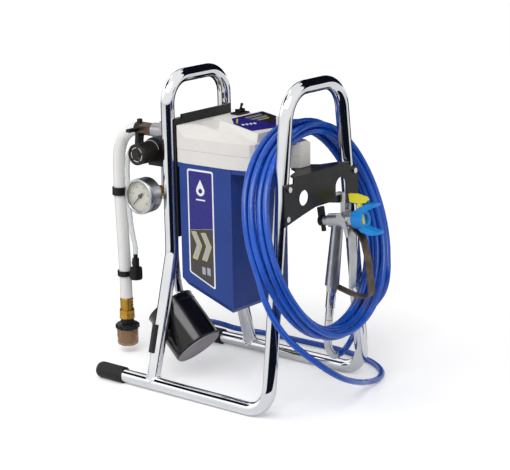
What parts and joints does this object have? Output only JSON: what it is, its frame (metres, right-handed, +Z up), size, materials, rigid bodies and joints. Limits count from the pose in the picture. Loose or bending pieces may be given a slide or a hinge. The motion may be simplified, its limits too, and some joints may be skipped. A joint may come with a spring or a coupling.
{
  "type": "airless paint sprayer",
  "caption": "Airless paint sprayer on a tube stand: electric piston pump under a cover, suction hose with strainer, gauge, drip cup, coiled fluid hose and a spray gun hung on the front.",
  "frame": {"origin": "centre of the footprint of the machine without its hoses, on the floor", "axes": "+X towards the front hoop and the gun, -Y towards the labelled side, +Z up"},
  "size_m": [0.6045, 0.421, 0.5993],
  "materials": {
    "frame_chrome": "polished",
    "cap_rubber": "matt",
    "bracket_paint": "satin black",
    "bolt_steel": "zinc plated",
    "tub_plastic": "fine grained blue",
    "cover_plastic": "satin pale grey",
    "label_film": "glossy printed film",
    "black_plastic": "satin",
    "cast_aluminium": "machined casting",
    "motor_steel": "satin",
    "copper_rotor": "varnished",
    "gear_steel": "oiled",
    "board": "lacquered board",
    "plated_steel": "polished",
    "brass": "machined",
    "dial_card": "printed dial",
    "clear_lens": "clear",
    "clear_hose": "translucent",
    "amber_plastic": "translucent amber",
    "hose_jacket": "smooth blue jacket",
    "gun_alloy": "polished casting",
    "guard_alloy": "bead blasted",
    "tip_guard_plastic": "bright blue",
    "tip_plastic": "yellow",
    "black_rubber": "satin"
  },
  "bodies": {
    "root": {"front_frame_tube": "frame_chrome", "rear_hoop": "frame_chrome", "foot_caps": "cap_rubber", "front_bracket": "bracket_paint", "rear_bracket": "bracket_paint", "fasteners": "bolt_steel", "motor_shroud": "tub_plastic", "lower_cover": "cover_plastic", "top_cover": "cover_plastic", "side_label": "label_film", "top_label": "label_film", "switch_body": "black_plastic", "gear_case": "cast_aluminium", "gear_plate": "cast_aluminium", "motor_case": "motor_steel", "bearings": "gear_steel", "control_board": "board", "manifold": "cast_aluminium", "pump_cylinder": "plated_steel", "packing_gland": "brass", "inlet_ball": "plated_steel", "outlet_filter": "plated_steel", "filter_cap": "plated_steel", "outlet_fitting": "plated_steel", "pressure_transducer": "bolt_steel", "knob_housing": "black_plastic", "prime_valve": "brass", "inlet_fitting": "plated_steel", "gauge_case": "plated_steel", "gauge_dial": "dial_card", "gauge_lens": "clear_lens", "suction_hose": "clear_hose", "hose_coupling": "brass", "strainer_stem": "black_plastic", "strainer_bowl": "amber_plastic", "drain_tube": "clear_hose", "drain_diffuser": "black_rubber", "cup_holder": "black_plastic", "hose_coil": "hose_jacket", "hose_pump_end": "hose_jacket", "hose_gun_end": "hose_jacket", "hose_guards": "plated_steel", "gun_body": "gun_alloy", "trigger_guard": "guard_alloy"},
    "rotor": {"motor_rotor": "copper_rotor", "cooling_fan": "black_plastic"},
    "idler": {"idler_gear": "gear_steel"},
    "crank": {"crank_gear": "gear_steel"},
    "piston": {"yoke_and_rod": "plated_steel"},
    "knob": {"pressure_knob": "black_plastic"},
    "valve_lever": {"valve_handle": "black_plastic"},
    "needle": {"gauge_needle": "black_plastic"},
    "switch": {"switch_lever": "black_plastic"},
    "cup": {"drip_cup": "black_plastic"},
    "trigger": {"gun_trigger": "gun_alloy"},
    "lock_lever": {"trigger_lock": "motor_steel"},
    "fluid_needle": {"gun_needle": "plated_steel"},
    "swivel": {"gun_swivel": "plated_steel"},
    "guard": {"tip_guard": "tip_guard_plastic"},
    "tip": {"spray_tip": "tip_plastic"}
  },
  "joints": [
    {"name": "motor_spin", "type": "hinge", "parent": "root", "child": "rotor", "pos_m": [-0.048, 0, 0.295], "axis": [0, 1, 0], "continuous": true},
    {"name": "idler_spin", "type": "hinge", "parent": "root", "child": "idler", "pos_m": [-0.048, 0, 0.334], "axis": [0, 1, 0], "continuous": true},
    {"name": "crank_spin", "type": "hinge", "parent": "root", "child": "crank", "pos_m": [-0.048, 0, 0.4], "axis": [0, 1, 0], "continuous": true},
    {"name": "piston_slide", "type": "slide", "parent": "root", "child": "piston", "axis": [1, 0, 0], "range_m": [-0.008, 0.008]},
    {"name": "pressure_turn", "type": "hinge", "parent": "root", "child": "knob", "pos_m": [-0.164, -0.1, 0.4455], "axis": [0, -1, 0], "range_deg": [-30, 270]},
    {"name": "prime_turn", "type": "hinge", "parent": "root", "child": "valve_lever", "pos_m": [-0.24, -0.03, 0.4735], "axis": [-1, 0, 0], "range_deg": [0, 90]},
    {"name": "needle_turn", "type": "hinge", "parent": "root", "child": "needle", "pos_m": [-0.164, -0.115, 0.3653], "axis": [0, -1, 0], "range_deg": [-270, 0]},
    {"name": "switch_throw", "type": "hinge", "parent": "root", "child": "switch", "pos_m": [-0.058, 0.052, 0.5125], "axis": [0, -1, 0], "range_deg": [0, 40]},
    {"name": "cup_tilt", "type": "hinge", "parent": "root", "child": "cup", "pos_m": [-0.1244, -0.1, 0.1015], "axis": [0, 1, 0], "range_deg": [0, 30]},
    {"name": "trigger_pull", "type": "hinge", "parent": "root", "child": "trigger", "pos_m": [0.17739, 0.058, 0.34039], "axis": [0, 1, 0], "range_deg": [0, 10], "stiffness_Nm_per_rad": 1.2, "springref_deg": -8.59},
    {"name": "lock_turn", "type": "hinge", "parent": "root", "child": "lock_lever", "pos_m": [0.12843, 0.058, 0.32353], "axis": [0.9877, 0, 0.1564], "range_deg": [0, 90]},
    {"name": "needle_slide", "type": "slide", "parent": "root", "child": "fluid_needle", "axis": [0.9877, 0, 0.1564], "range_m": [-0.0017, 0]},
    {"name": "swivel_spin", "type": "hinge", "parent": "root", "child": "swivel", "pos_m": [0.14602, 0.058, 0.17996], "axis": [-0.1132, 0, -0.9936], "continuous": true},
    {"name": "guard_turn", "type": "hinge", "parent": "root", "child": "guard", "pos_m": [0.20745, 0.058, 0.33604], "axis": [0.9877, 0, 0.1564], "range_deg": [-90, 90]},
    {"name": "tip_turn", "type": "hinge", "parent": "guard", "child": "tip", "pos_m": [0.21663, 0.058, 0.33749], "axis": [-0.1564, 0, 0.9877], "range_deg": [0, 180]}
  ],
  "couplings": [
    {"joint": "idler_spin", "follows": "motor_spin", "ratio": -0.3},
    {"joint": "crank_spin", "follows": "motor_spin", "ratio": 0.25},
    {"joint": "needle_slide", "follows": "trigger_pull", "m_per_rad": -0.009}
  ]
}
